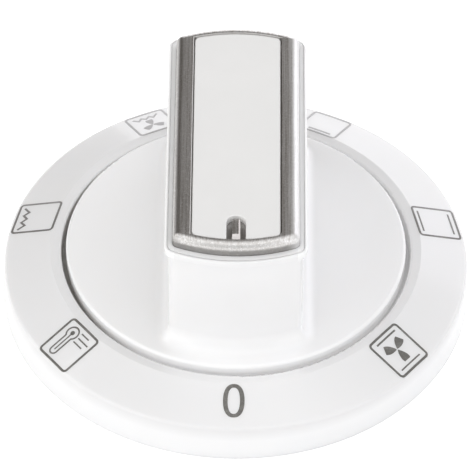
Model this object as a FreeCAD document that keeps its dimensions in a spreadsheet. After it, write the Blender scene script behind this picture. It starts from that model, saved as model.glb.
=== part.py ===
import FreeCAD, Part
import math
import os
import re
import Sketcher

# Selector knob of a built-in oven: a dial ring that stays on the panel, and a grip that turns in it.
# Origin: centre of the ring's rear face, which seats on the panel. +Z points away from the panel.
# The grip's pointer and the ring's zero position face -Y. All sizes are in millimetres.

SIZES = [
    # dial ring
    ("ring_radius", 30.0, "outer radius at the rear face"),
    ("ring_height", 7.2, "rear face to the flat top"),
    ("ring_band", 7.6, "outside of the ring to its opening"),
    ("ring_lean", 0.3, "inward lean of the outer wall"),
    ("ring_wall", 1.8, "shell thickness of the ring"),
    ("flat_width", 1.4, "flat top between the opening and the printed slope"),
    ("slope_drop", 2.2, "how far the slope falls on its way to the outer wall"),
    ("roof_thick", 1.9, "upright thickness under the slope"),
    ("shoulder_round", 0.5, "rounding where slope meets wall"),
    ("lip_round", 0.35, "rounding of the opening's lip"),
    ("lip_wall", 1.8, "wall below the opening's lip"),
    ("flange_depth", 2.7, "flat top down to the bearing flange"),
    ("flange_thick", 1.4, "thickness of the bearing flange"),
    ("socket_radius", 1.3, "hole for a panel pin"),
    ("socket_depth", 3.6, "depth of the hole"),
    ("boss_radius", 2.3, "outside of the socket boss"),
    ("core_depth", 1.95, "flat top down to the top of bosses and ribs"),
    ("ring_rib_thick", 1.0, "stiffening rib under the shoulder"),
    ("ring_rib_setback", 1.4, "rib edge above the rear face"),
    # bearing between ring and knob
    ("disc_gap", 0.6, "gap between the disc and the opening"),
    ("running_gap", 0.06, "radial clearance of the bearing"),
    ("axial_play", 0.12, "clearance above and below the flange"),
    # disc of the knob
    ("disc_step", 0.75, "disc stands above the ring by this"),
    ("disc_thick", 1.9, "thickness of the disc"),
    ("disc_round", 0.4, "rounding of the disc's rim"),
    ("spigot_inset", 1.8, "rim of the disc in to the bearing surface"),
    ("spigot_wall", 1.3, "wall of the spigot"),
    ("spigot_bottom", 0.8, "lower edge of the spigot"),
    ("land_width", 1.3, "seat of the disc on the flange"),
    ("hook_reach", 0.8, "how far a hook passes under the flange"),
    ("hook_height", 1.7, "height of a hook's barb"),
    ("hook_angle", 22.0, "width of a hook in degrees"),
    ("hook_slot", 0.9, "slot beside a hook"),
    # grip
    ("overall_height", 27.45, "rear face to the top of the trim"),
    ("grip_width", 16.7, "width across the flanks"),
    ("grip_wall", 1.75, "wall round the hollow"),
    ("grip_end_inset", 1.4, "rim of the disc in to the grip's end below the collar"),
    ("grip_end_lean", 2.05, "the grip's ends stand in by this at the foot"),
    ("grip_corner", 1.0, "rounding of the upright corners"),
    ("foot_round", 1.95, "fillet from grip to disc"),
    ("collar_proud", 0.45, "collar stands out from the grip"),
    ("collar_height", 0.8, "height of the collar"),
    ("collar_round", 0.3, "rounding of the collar's top edge"),
    ("seam_inset", 0.38, "outside of the collar in to the seam's middle"),
    ("seam_width", 0.16, "width of the seam round the collar's lip"),
    ("seam_depth", 0.35, "depth of that seam"),
    ("trim_rise", 1.85, "trim stands above the collar by this"),
    ("deck_depth", 2.9, "top of the trim down to the deck"),
    ("deck_thick", 1.8, "deck that carries the trim"),
    ("rib_thick", 1.2, "ribs from the hub to the walls"),
    ("rib_bottom", 8.2, "lower edge of the ribs"),
    # hub
    ("hub_gap", 1.1, "hub stands clear of the grip's walls by this"),
    ("hub_bottom", 0.6, "lower end of the hub"),
    ("bore_radius", 3.03, "bore for a 6 mm shaft"),
    ("mouth_gap", 0.17, "the bore's round mouth is wider than the bore by this"),
    ("bore_flat", 1.6, "axis to the flat of the bore"),
    ("mouth_depth", 6.0, "length of the mouth, before the bore's flat begins"),
    ("bore_depth", 15.0, "full depth of the bore"),
    ("clamp_slot", 1.2, "slots that let the hub close"),
    ("clamp_slot_top", 9.0, "upper end of the slots"),
    ("spring_bottom", 2.2, "lower edge of the spring band"),
    ("spring_height", 4.6, "height of the spring band"),
    ("spring_thick", 0.6, "thickness of the spring band"),
    ("spring_groove", 0.5, "depth of its groove in the hub"),
    ("spring_slack", 0.1, "groove is wider than the band by this each side"),
    ("spring_opening", 50.0, "open angle of the band in degrees"),
    # trim
    ("rim_side", 0.97, "collar's lip beside the trim"),
    ("rim_end", 1.2, "collar's lip at the trim's ends"),
    ("trim_corner", 0.9, "rounding of its corners in plan"),
    ("trim_round", 0.9, "rounding of its outer top edge"),
    ("trim_gap", 0.04, "clearance of the trim in the collar"),
    ("pin_radius", 0.9, "pins under the trim"),
    ("pin_gap", 0.02, "clearance of a pin in the deck"),
    ("pin_inset", 3.6, "flank of the trim in to a pin"),
    ("pin_setback", 7.1, "end of the trim in to a pin"),
    ("pin_overrun", 0.5, "pin length below the deck"),
    ("pointer_width", 0.95, "raised pointer in the insert's notch"),
    ("pointer_height", 0.55, "pointer above the insert's seat"),
    ("pointer_slope", 1.3, "length of the pointer's sloped end"),
    # insert
    ("rail_side", 2.22, "rail of the trim beside the plate"),
    ("rail_end", 1.04, "rail of the trim at the plate's ends"),
    ("insert_thick", 1.0, "thickness of the plate"),
    ("insert_sink", 0.1, "plate lies below the trim's top by this"),
    ("insert_gap", 0.16, "shadow gap round the plate"),
    ("insert_corner", 0.7, "rounding of its corners"),
    ("insert_round", 0.15, "rounding of its top edge"),
    ("notch_width", 2.4, "width of the pointer's notch"),
    ("notch_length", 4.3, "length of the notch from the plate's front"),
    ("peg_radius", 0.7, "pegs under the plate"),
    ("peg_length", 0.8, "length of a peg"),
    ("peg_setback", 7.4, "end of the plate in to a peg"),
]

FOLLOWING = [
    # radii and widths that follow from the sizes above
    ("opening_radius", "=ring_radius - ring_band"),
    ("slope_start", "=opening_radius + flat_width"),
    ("shoulder_radius", "=ring_radius - ring_lean"),
    ("slope", "=slope_drop / (shoulder_radius - slope_start)"),
    ("socket_circle", "=(opening_radius + lip_wall + ring_radius - ring_wall) / 2"),
    ("disc_radius", "=opening_radius - disc_gap"),
    ("spigot_radius", "=disc_radius - spigot_inset"),
    ("flange_radius", "=spigot_radius + running_gap"),
    ("grip_end_radius", "=disc_radius - grip_end_inset"),
    ("foot_end_radius", "=grip_end_radius - grip_end_lean"),
    ("hollow_width", "=grip_width - 2 * grip_wall"),
    ("hollow_end_radius", "=foot_end_radius - grip_wall"),
    ("hub_radius", "=hollow_width / 2 - hub_gap"),
    ("mouth_radius", "=bore_radius + mouth_gap"),
    ("collar_width", "=grip_width + 2 * collar_proud"),
    ("collar_end_radius", "=grip_end_radius + collar_proud"),
    ("collar_corner", "=grip_corner + collar_proud"),
    ("trim_width", "=collar_width - 2 * rim_side"),
    ("trim_end_radius", "=collar_end_radius - rim_end"),
    ("insert_width", "=trim_width - 2 * (rail_side + insert_gap)"),
    ("insert_end_radius", "=trim_end_radius - rail_end - insert_gap"),
    ("pin_x", "=trim_width / 2 - pin_inset"),
    ("pin_y", "=trim_end_radius - pin_setback"),
    ("peg_y", "=insert_end_radius - peg_setback"),
    # heights
    ("core_height", "=ring_height - core_depth"),
    ("flange_top", "=ring_height - flange_depth"),
    ("flange_bottom", "=flange_top - flange_thick"),
    ("disc_top", "=ring_height + disc_step"),
    ("disc_bottom", "=disc_top - disc_thick"),
    ("collar_top", "=overall_height - trim_rise"),
    ("collar_bottom", "=collar_top - collar_height"),
    ("deck_top", "=overall_height - deck_depth"),
    ("deck_bottom", "=deck_top - deck_thick"),
    ("insert_top", "=overall_height - insert_sink"),
    ("insert_seat", "=insert_top - insert_thick"),
]


def make_sheet(doc):
    sheet = doc.addObject("Spreadsheet::Sheet", "sizes")
    row = 1
    for alias, value, note in SIZES:
        sheet.set("A%d" % row, note)
        sheet.set("B%d" % row, str(value))
        sheet.setAlias("B%d" % row, alias)
        row += 1
    for alias, formula in FOLLOWING:
        sheet.set("B%d" % row, formula)
        sheet.setAlias("B%d" % row, alias)
        row += 1
    doc.recompute()
    return sheet


def size(doc, text):
    """Value of an expression in the sheet's names."""
    return float(doc.sizes.evalExpression(text))


def linked(doc, text):
    """The same expression with each name pointed at the sheet, for use on another object."""
    names = {alias for alias, *_ in SIZES + FOLLOWING}
    return re.sub(r"[a-z_]+", lambda m: "sizes." + m[0] if m[0] in names else m[0], text)


def origin_plane(body, role):
    return next(f for f in body.Origin.OriginFeatures if f.Role == role)


def new_body(doc, name):
    body = doc.addObject("PartDesign::Body", name)
    body.Label = name
    return body


def new_sketch(doc, body, name, role, level=None):
    """Sketch on an origin plane; level is its height above that plane."""
    sketch = body.newObject("Sketcher::SketchObject", name)
    sketch.AttachmentSupport = [(origin_plane(body, role), "")]
    sketch.MapMode = "FlatFace"
    if level is not None:
        sketch.setExpression("AttachmentOffset.Base.z", linked(doc, level))
    return sketch


def bind(doc, sketch, kind, geometry, value, text):
    index = sketch.addConstraint(Sketcher.Constraint(kind, *geometry, value))
    sketch.setExpression("Constraints[%d]" % index, linked(doc, text))


def place_point(doc, sketch, edge, end, corner):
    for kind, text in zip(("DistanceX", "DistanceY"), corner):
        bind(doc, sketch, kind, (-1, 1, edge, end), size(doc, text), text)


def outline(doc, sketch, corners, arcs=None):
    """Closed outline through corners given as expressions.

    arcs maps an edge's number to (radius, bulge): bulge 1 turns left on the way, -1 right.
    """
    arcs = arcs or {}
    spots = [FreeCAD.Vector(size(doc, x), size(doc, y), 0) for x, y in corners]
    count = len(spots)
    ends = []
    for i in range(count):
        a = spots[i]
        b = spots[(i + 1) % count]
        if i not in arcs:
            edge = sketch.addGeometry(Part.LineSegment(a, b), False)
            ends.append((edge, 1, 2))
            continue
        text, bulge = arcs[i]
        radius = size(doc, text)
        half = (b - a) * 0.5
        normal = FreeCAD.Vector(-half.y, half.x, 0).normalize()
        centre = a + half + normal * (bulge * math.sqrt(radius ** 2 - half.Length ** 2))
        first, last = (a, b) if bulge > 0 else (b, a)
        circle = Part.Circle(centre, FreeCAD.Vector(0, 0, 1), radius)
        start = math.atan2(first.y - centre.y, first.x - centre.x)
        stop = math.atan2(last.y - centre.y, last.x - centre.x)
        edge = sketch.addGeometry(Part.ArcOfCircle(circle, start, stop), False)
        ends.append((edge, 1, 2) if bulge > 0 else (edge, 2, 1))
        bind(doc, sketch, "Radius", (edge,), radius, text)
    for i in range(count):
        edge, start, stop = ends[i]
        after, after_start, after_stop = ends[(i + 1) % count]
        sketch.addConstraint(Sketcher.Constraint("Coincident", edge, stop, after, after_start))
        place_point(doc, sketch, edge, start, corners[i])


def circle(doc, sketch, radius, x="0", y="0"):
    centre = FreeCAD.Vector(size(doc, x), size(doc, y), 0)
    value = size(doc, radius)
    edge = sketch.addGeometry(Part.Circle(centre, FreeCAD.Vector(0, 0, 1), value), False)
    bind(doc, sketch, "Radius", (edge,), value, radius)
    place_point(doc, sketch, edge, 3, (x, y))


def bow_ended(doc, sketch, width, end_radius, corner=None):
    """Plan of the grip: straight sides, and ends that are arcs about the turning axis."""
    side = "(%s) / 2" % width
    if corner is None:
        reach = "sqrt((%s) ^ 2 - (%s) ^ 2)" % (end_radius, side)
        outline(doc, sketch, [
            (side, "-(%s)" % reach),
            (side, reach),
            ("-(%s)" % side, reach),
            ("-(%s)" % side, "-(%s)" % reach),
        ], {1: (end_radius, 1), 3: (end_radius, 1)})
        return
    # centre of the corner's arc, and the point where that arc runs into the end's arc
    x = "(%s - (%s))" % (side, corner)
    y = "sqrt((%s - (%s)) ^ 2 - %s ^ 2)" % (end_radius, corner, x)
    grow = "(%s) / (%s - (%s))" % (end_radius, end_radius, corner)
    end_x = "%s * %s" % (x, grow)
    end_y = "%s * %s" % (y, grow)
    outline(doc, sketch, [
        (side, "-(%s)" % y),
        (side, y),
        (end_x, end_y),
        ("-(%s)" % end_x, end_y),
        ("-(%s)" % side, y),
        ("-(%s)" % side, "-(%s)" % y),
        ("-(%s)" % end_x, "-(%s)" % end_y),
        (end_x, "-(%s)" % end_y),
    ], {
        1: (corner, 1), 2: (end_radius, 1), 3: (corner, 1),
        5: (corner, 1), 6: (end_radius, 1), 7: (corner, 1),
    })


def pad(doc, body, sketch, name, length):
    feature = body.newObject("PartDesign::Pad", name)
    feature.Profile = sketch
    feature.setExpression("Length", linked(doc, length))
    return feature


def pocket(doc, body, sketch, name, depth):
    feature = body.newObject("PartDesign::Pocket", name)
    feature.Profile = sketch
    feature.setExpression("Length", linked(doc, depth))
    return feature


def turned(doc, body, sketch, name, kind="Revolution", angle=None):
    feature = body.newObject("PartDesign::" + kind, name)
    feature.Profile = sketch
    feature.ReferenceAxis = (sketch, ["V_Axis"])
    feature.Angle = 360
    if angle:
        feature.Midplane = True
        feature.setExpression("Angle", linked(doc, angle))
    return feature


def round_about(body, features, name, count):
    pattern = body.newObject("PartDesign::PolarPattern", name)
    pattern.Originals = features
    pattern.Axis = (origin_plane(body, "Z_Axis"), [""])
    pattern.Angle = 360
    pattern.Occurrences = count
    body.Tip = pattern
    return pattern


def rounded(doc, body, name, radius, wanted):
    """Fillet on the edges for which wanted(edge) holds."""
    doc.recompute()
    base = body.Tip
    names = ["Edge%d" % (i + 1) for i, edge in enumerate(base.Shape.Edges) if wanted(edge)]
    if not names:
        raise RuntimeError("no edge found for " + name)
    feature = body.newObject("PartDesign::Fillet", name)
    feature.Base = (base, names)
    feature.setExpression("Radius", linked(doc, radius))
    return feature


NEAR = 0.01  # how close an edge must lie to a wanted place
STEEP = 3    # an upright edge is this many times taller than wide


def at_height(edge, level):
    box = edge.BoundBox
    return abs(box.ZMin - level) < NEAR and abs(box.ZMax - level) < NEAR


def between(edge, low, high):
    box = edge.BoundBox
    return box.ZMin > low - NEAR and box.ZMax < high + NEAR


def whole_circle(edge, radius, level):
    is_circle = isinstance(edge.Curve, Part.Circle)
    return is_circle and abs(edge.Curve.Radius - radius) < NEAR and at_height(edge, level)


def upright(edge):
    """Edge that runs mainly up and down."""
    box = edge.BoundBox
    return box.ZLength > STEEP * max(box.XLength, box.YLength)


def off_axis(edge, reach):
    """Distance of the edge's middle from the long axis of the grip is about reach."""
    return abs(abs(edge.BoundBox.Center.x) - reach) < NEAR


def make_dial_ring(doc):
    """Moulded ring: sloping shell, bearing flange, two sockets for panel pins and stiffening ribs."""
    body = new_body(doc, "dial_ring")
    section = new_sketch(doc, body, "ring_section", "XZ_Plane")
    under_lip = "opening_radius + lip_wall"
    inner_wall = "shoulder_radius - ring_wall"
    roof = "ring_height - slope * (%s - slope_start) - roof_thick"
    outline(doc, section, [
        ("ring_radius", "0"),
        ("shoulder_radius", "ring_height - slope_drop"),
        ("slope_start", "ring_height"),
        ("opening_radius", "ring_height"),
        ("opening_radius", "flange_top"),
        ("flange_radius", "flange_top"),
        ("flange_radius", "flange_bottom"),
        (under_lip, "flange_bottom"),
        (under_lip, roof % under_lip),
        (inner_wall, roof % inner_wall),
        ("ring_radius - ring_wall", "0"),
    ])
    turned(doc, body, section, "ring_shell")

    boss = new_sketch(doc, body, "boss_outline", "XY_Plane")
    circle(doc, boss, "boss_radius", "socket_circle")
    boss_pad = pad(doc, body, boss, "socket_boss", "core_height")
    hole = new_sketch(doc, body, "socket_outline", "XY_Plane", "socket_depth")
    circle(doc, hole, "socket_radius", "socket_circle")
    hole_cut = pocket(doc, body, hole, "socket_hole", "socket_depth")
    round_about(body, [boss_pad, hole_cut], "sockets", 2)

    rib = new_sketch(doc, body, "rib_outline", "XY_Plane", "ring_rib_setback")
    half = "ring_rib_thick / 2"
    inside = "opening_radius + lip_wall / 2"
    outside = "socket_circle + boss_radius"
    outline(doc, rib, [
        ("-(%s)" % half, inside),
        (half, inside),
        (half, outside),
        ("-(%s)" % half, outside),
    ])
    rib_pad = pad(doc, body, rib, "ring_rib", "core_height - ring_rib_setback")
    round_about(body, [rib_pad], "ring_ribs", 6)

    shoulder = size(doc, "shoulder_radius")
    level = size(doc, "ring_height - slope_drop")
    rounded(doc, body, "shoulder_edge", "shoulder_round",
            lambda e: whole_circle(e, shoulder, level))
    opening = size(doc, "opening_radius")
    top = size(doc, "ring_height")
    rounded(doc, body, "opening_edge", "lip_round", lambda e: whole_circle(e, opening, top))
    return body


def add_disc(doc, body):
    """Turning disc with the spigot that runs in the ring's flange."""
    section = new_sketch(doc, body, "disc_section", "XZ_Plane")
    bore = "spigot_radius - spigot_wall"
    land = "flange_top + axial_play"
    outline(doc, section, [
        ("0", "disc_bottom"),
        (bore, "disc_bottom"),
        (bore, "spigot_bottom"),
        ("spigot_radius", "spigot_bottom"),
        ("spigot_radius", land),
        ("spigot_radius + land_width", land),
        ("spigot_radius + land_width", "disc_bottom"),
        ("disc_radius", "disc_bottom"),
        ("disc_radius", "disc_top"),
        ("0", "disc_top"),
    ])
    turned(doc, body, section, "disc")


def add_hooks(doc, body):
    """Four snap hooks cut free in the spigot, each with a barb below the flange."""
    barb = new_sketch(doc, body, "barb_section", "XZ_Plane")
    root = "spigot_radius - spigot_wall / 2"
    top = "flange_bottom - axial_play"
    outline(doc, barb, [
        (root, "%s - hook_height" % top),
        ("spigot_radius", "%s - hook_height" % top),
        ("spigot_radius + hook_reach", "%s - hook_height / 3" % top),
        ("spigot_radius + hook_reach", top),
        (root, top),
    ])
    barb_turn = turned(doc, body, barb, "barb", angle="hook_angle")

    slots = new_sketch(doc, body, "hook_slots", "XY_Plane", "disc_bottom")
    near = "spigot_radius - spigot_wall - hook_slot"
    far = "spigot_radius + hook_reach"
    edge = "spigot_radius * sin(hook_angle / 2)"
    for sign in ("", "-"):
        low = "%s(%s)" % (sign, edge)
        high = "%s(%s + hook_slot)" % (sign, edge)
        outline(doc, slots, [(near, low), (far, low), (far, high), (near, high)])
    slot_cut = pocket(doc, body, slots, "hook_slot_cut", "disc_bottom - spigot_bottom")
    round_about(body, [barb_turn, slot_cut], "hooks", 4)


def add_grip(doc, body):
    """Grip with level flanks, ends that stand in towards the foot, and a collar round the trim."""
    base = new_sketch(doc, body, "grip_base", "XY_Plane", "disc_top - disc_thick / 2")
    bow_ended(doc, base, "grip_width", "foot_end_radius")
    neck = new_sketch(doc, body, "grip_neck", "XY_Plane", "collar_bottom")
    bow_ended(doc, neck, "grip_width", "grip_end_radius")
    loft = body.newObject("PartDesign::AdditiveLoft", "grip")
    loft.Profile = base
    loft.Sections = [neck]
    loft.Ruled = True
    disc_top = size(doc, "disc_top")
    collar_bottom = size(doc, "collar_bottom")
    flank = size(doc, "grip_width / 2")
    rim = size(doc, "disc_radius")
    rounded(doc, body, "grip_corners", "grip_corner",
            lambda e: upright(e) and between(e, disc_top, collar_bottom) and off_axis(e, flank))
    rounded(doc, body, "grip_foot", "foot_round",
            lambda e: at_height(e, disc_top) and not whole_circle(e, rim, disc_top))

    collar = new_sketch(doc, body, "collar_outline", "XY_Plane", "collar_bottom")
    bow_ended(doc, collar, "collar_width", "collar_end_radius", "collar_corner")
    pad(doc, body, collar, "collar", "collar_height")
    collar_top = size(doc, "collar_top")
    rounded(doc, body, "collar_edge", "collar_round", lambda e: at_height(e, collar_top))


def add_seam(doc, body):
    """Fine groove that parts the collar's lip from its outer edge."""
    seam = new_sketch(doc, body, "seam_outline", "XY_Plane", "collar_top")
    for side in ("-", "+"):
        inset = "(seam_inset %s seam_width / 2)" % side
        bow_ended(doc, seam, "(collar_width - 2 * %s)" % inset,
                  "(collar_end_radius - %s)" % inset, "(collar_corner - %s)" % inset)
    pocket(doc, body, seam, "seam", "seam_depth")


def add_hollow(doc, body):
    """Hollow of the grip, open to the rear, with the hub and its ribs left standing."""
    hollow = new_sketch(doc, body, "hollow_outline", "XY_Plane", "deck_bottom")
    bow_ended(doc, hollow, "hollow_width", "hollow_end_radius")
    pocket(doc, body, hollow, "hollow", "deck_bottom")

    hub = new_sketch(doc, body, "hub_outline", "XY_Plane", "hub_bottom")
    circle(doc, hub, "hub_radius")
    pad(doc, body, hub, "hub", "deck_bottom + deck_thick / 2 - hub_bottom")

    ribs = new_sketch(doc, body, "rib_outline", "XY_Plane", "rib_bottom")
    half = "rib_thick / 2"
    reach = "hollow_end_radius + rib_thick"
    outline(doc, ribs, [
        (half, "-(%s)" % reach),
        (half, reach),
        ("-(%s)" % half, reach),
        ("-(%s)" % half, "-(%s)" % reach),
    ])
    pad(doc, body, ribs, "long_rib", "deck_bottom + deck_thick / 2 - rib_bottom")
    cross = new_sketch(doc, body, "cross_rib_outline", "XY_Plane", "clamp_slot_top + rib_thick")
    side = "hollow_width / 2 + rib_thick / 2"
    outline(doc, cross, [
        (side, "-(%s)" % half),
        (side, half),
        ("-(%s)" % side, half),
        ("-(%s)" % side, "-(%s)" % half),
    ])
    pad(doc, body, cross, "cross_rib", "deck_bottom + deck_thick / 2 - clamp_slot_top - rib_thick")


def add_shaft_socket(doc, body):
    """Bore with a round mouth and a flat beyond it, slots that let the hub close, and the spring's groove."""
    mouth = new_sketch(doc, body, "mouth_outline", "XY_Plane", "hub_bottom + mouth_depth")
    circle(doc, mouth, "mouth_radius")
    pocket(doc, body, mouth, "shaft_mouth", "mouth_depth")
    bore = new_sketch(doc, body, "bore_outline", "XY_Plane", "hub_bottom + bore_depth")
    reach = "sqrt(bore_radius ^ 2 - bore_flat ^ 2)"
    outline(doc, bore, [
        ("-(%s)" % reach, "bore_flat"),
        ("0", "-(bore_radius)"),
        (reach, "bore_flat"),
    ], {0: ("bore_radius", 1), 1: ("bore_radius", 1)})
    pocket(doc, body, bore, "shaft_bore", "bore_depth")

    slot = new_sketch(doc, body, "clamp_slot_outline", "XY_Plane", "clamp_slot_top")
    half = "clamp_slot / 2"
    side = "hub_radius + clamp_slot / 4"
    outline(doc, slot, [
        (side, "-(%s)" % half),
        (side, half),
        ("-(%s)" % side, half),
        ("-(%s)" % side, "-(%s)" % half),
    ])
    pocket(doc, body, slot, "clamp_slot", "clamp_slot_top - hub_bottom")

    groove = new_sketch(doc, body, "spring_groove_section", "XZ_Plane")
    low = "spring_bottom - spring_slack"
    high = "spring_bottom + spring_height + spring_slack"
    outline(doc, groove, [
        ("hub_radius - spring_groove", low),
        ("hub_radius + spring_groove", low),
        ("hub_radius + spring_groove", high),
        ("hub_radius - spring_groove", high),
    ])
    turned(doc, body, groove, "spring_groove", "Groove")


def add_trim_seat(doc, body):
    """Recess inside the collar, with holes for the trim's pins."""
    seat = new_sketch(doc, body, "seat_outline", "XY_Plane", "collar_top")
    bow_ended(doc, seat, "(trim_width + 2 * trim_gap)", "(trim_end_radius + trim_gap)",
              "(trim_corner + trim_gap)")
    pocket(doc, body, seat, "trim_seat", "collar_top - deck_top")

    holes = new_sketch(doc, body, "pin_holes", "XY_Plane", "deck_top")
    for x in ("pin_x", "-pin_x"):
        for y in ("pin_y", "-pin_y"):
            circle(doc, holes, "pin_radius + pin_gap", x, y)
    pocket(doc, body, holes, "pin_hole_cut", "deck_thick + rib_thick")


def make_knob_body(doc):
    body = new_body(doc, "knob_body")
    add_disc(doc, body)
    add_grip(doc, body)
    rim = size(doc, "disc_radius")
    disc_top = size(doc, "disc_top")
    rounded(doc, body, "disc_edge", "disc_round", lambda e: whole_circle(e, rim, disc_top))
    add_hollow(doc, body)
    add_hooks(doc, body)
    add_shaft_socket(doc, body)
    add_trim_seat(doc, body)
    add_seam(doc, body)
    return body


def make_grip_trim(doc):
    """Plated frame with the seat of the cover plate, the raised pointer and four pins."""
    body = new_body(doc, "grip_trim")
    frame = new_sketch(doc, body, "frame_outline", "XY_Plane", "deck_top")
    bow_ended(doc, frame, "trim_width", "trim_end_radius", "trim_corner")
    pad(doc, body, frame, "frame", "deck_depth")
    top = size(doc, "overall_height")
    rounded(doc, body, "frame_edge", "trim_round", lambda e: at_height(e, top))

    seat = new_sketch(doc, body, "plate_seat_outline", "XY_Plane", "overall_height")
    bow_ended(doc, seat, "(insert_width + 2 * insert_gap)", "(insert_end_radius + insert_gap)",
              "(insert_corner + insert_gap)")
    pocket(doc, body, seat, "plate_seat", "insert_sink + insert_thick")

    pegs = new_sketch(doc, body, "peg_sockets", "XY_Plane", "insert_seat")
    for y in ("peg_y", "-peg_y"):
        circle(doc, pegs, "peg_radius + pin_gap", "0", y)
    pocket(doc, body, pegs, "peg_socket_cut", "peg_length + pin_gap")

    pointer = new_sketch(doc, body, "pointer_section", "YZ_Plane", "-(pointer_width) / 2")
    front = "-(insert_end_radius + insert_gap)"
    back = "-(insert_end_radius - notch_length + pointer_width / 2)"
    high = "insert_seat + pointer_height"
    outline(doc, pointer, [
        (front, "insert_seat - pointer_height / 2"),
        (back, "insert_seat - pointer_height / 2"),
        (back, high),
        (front + " + pointer_slope", high),
        (front, "insert_seat + pointer_height / 4"),
    ])
    pad(doc, body, pointer, "pointer", "pointer_width")

    pins = new_sketch(doc, body, "pins_outline", "XY_Plane", "deck_bottom - pin_overrun")
    for x in ("pin_x", "-pin_x"):
        for y in ("pin_y", "-pin_y"):
            circle(doc, pins, "pin_radius", x, y)
    pad(doc, body, pins, "pins", "deck_thick + 2 * pin_overrun")
    return body


def make_top_insert(doc):
    """Cover plate with the pointer's arched notch and two pegs."""
    body = new_body(doc, "top_insert")
    plate = new_sketch(doc, body, "plate_outline", "XY_Plane", "insert_seat")
    bow_ended(doc, plate, "insert_width", "insert_end_radius", "insert_corner")
    pad(doc, body, plate, "plate", "insert_thick")

    notch = new_sketch(doc, body, "notch_outline", "XY_Plane", "insert_top")
    half = "notch_width / 2"
    arch = "-(insert_end_radius - notch_length + notch_width / 2)"
    mouth = "-(insert_end_radius + notch_width)"
    outline(doc, notch, [
        ("-(%s)" % half, mouth),
        (half, mouth),
        (half, arch),
        ("-(%s)" % half, arch),
    ], {2: (half + " + insert_round / 10", 1)})
    pocket(doc, body, notch, "notch", "insert_thick")
    top = size(doc, "insert_top")
    rounded(doc, body, "plate_edge", "insert_round", lambda e: at_height(e, top))

    pegs = new_sketch(doc, body, "pegs_outline", "XY_Plane", "insert_seat - peg_length")
    for y in ("peg_y", "-peg_y"):
        circle(doc, pegs, "peg_radius", "0", y)
    pad(doc, body, pegs, "pegs", "peg_length + insert_thick / 2")
    return body


def make_hub_spring(doc):
    """Open steel band that closes the slotted hub on the shaft."""
    body = new_body(doc, "hub_spring")
    section = new_sketch(doc, body, "band_section", "XZ_Plane")
    inside = "hub_radius - spring_groove"
    low = "spring_bottom"
    high = "spring_bottom + spring_height"
    outline(doc, section, [
        (inside, low),
        (inside + " + spring_thick", low),
        (inside + " + spring_thick", high),
        (inside, high),
    ])
    turned(doc, body, section, "band", angle="360 - spring_opening")
    return body


def check(doc, parts):
    """Stop if any object failed or any sub-part has no sound solid."""
    for thing in doc.Objects:
        if "Invalid" in thing.State or "Error" in thing.State:
            raise RuntimeError("%s failed: %s" % (thing.Name, thing.State))
    for part in parts:
        shape = part.Shape
        if shape.isNull() or not shape.isValid() or len(shape.Solids) != 1:
            raise RuntimeError("%s has no sound solid" % part.Label)


def main():
    doc = FreeCAD.newDocument("selector_knob")
    make_sheet(doc)
    parts = [
        make_dial_ring(doc),
        make_knob_body(doc),
        make_grip_trim(doc),
        make_top_insert(doc),
        make_hub_spring(doc),
    ]
    doc.recompute()
    check(doc, parts)
    os.makedirs("parts", exist_ok=True)
    for part in parts:
        part.Shape.exportStep("parts/%s.step" % part.Label)
        box = part.Shape.BoundBox
        print("%-12s %8.1f mm3  z %.2f to %.2f" % (part.Label, part.Shape.Volume, box.ZMin, box.ZMax))


main()
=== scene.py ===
import bpy
import numpy as np
from mathutils import Matrix, Vector


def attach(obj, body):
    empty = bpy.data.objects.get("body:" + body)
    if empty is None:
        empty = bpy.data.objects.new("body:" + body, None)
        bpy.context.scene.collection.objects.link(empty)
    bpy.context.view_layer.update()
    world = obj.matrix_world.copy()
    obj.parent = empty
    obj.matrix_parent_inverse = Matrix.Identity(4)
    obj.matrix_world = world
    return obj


# Dresses the oven selector knob: finishes of its parts, printed signs, floor, lamps and camera.

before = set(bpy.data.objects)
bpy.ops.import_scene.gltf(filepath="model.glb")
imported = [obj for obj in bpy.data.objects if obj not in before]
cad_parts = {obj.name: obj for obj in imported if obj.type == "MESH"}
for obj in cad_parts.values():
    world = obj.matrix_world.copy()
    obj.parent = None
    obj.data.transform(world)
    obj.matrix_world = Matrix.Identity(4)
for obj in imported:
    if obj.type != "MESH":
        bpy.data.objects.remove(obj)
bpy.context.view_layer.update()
mm = 0.001
print("frame loaded:", len(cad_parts), "parts")

treeSpacing = {"column": 240, "row": 200}


def layOut(tree):
    # nodes stand in columns by how many links they are away from the output
    column = {node.name: 0 for node in tree.nodes}
    for _ in tree.nodes:
        for link in tree.links:
            ahead = column[link.to_node.name] + 1
            column[link.from_node.name] = max(column[link.from_node.name], ahead)
    filled = {}
    for node in tree.nodes:
        place = column[node.name]
        node.location = (-treeSpacing["column"] * place, -treeSpacing["row"] * filled.get(place, 0))
        filled[place] = filled.get(place, 0) + 1


def feed(tree, value, socket):
    # another node's output is linked, a number or colour is written in
    if isinstance(value, bpy.types.NodeSocket):
        tree.links.new(value, socket)
    else:
        socket.default_value = value


def feedAll(tree, node, values):
    for name, value in values.items():
        feed(tree, value, node.inputs[name])


def newNode(tree, kind, values=None, **settings):
    node = tree.nodes.new(kind)
    for name, value in settings.items():
        setattr(node, name, value)
    feedAll(tree, node, values or {})
    return node


def mathNode(tree, operation, *values, clamp=False):
    node = newNode(tree, "ShaderNodeMath", dict(enumerate(values)), operation=operation, use_clamp=clamp)
    return node.outputs[0]


def productOf(tree, first, *others):
    for other in others:
        first = mathNode(tree, "MULTIPLY", first, other)
    return first


def nearNode(tree, value, target, reach):
    # 1 within reach of the target
    return mathNode(tree, "COMPARE", value, target, reach)


def splitPlace(tree, place):
    return newNode(tree, "ShaderNodeSeparateXYZ", {"Vector": place}).outputs


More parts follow.
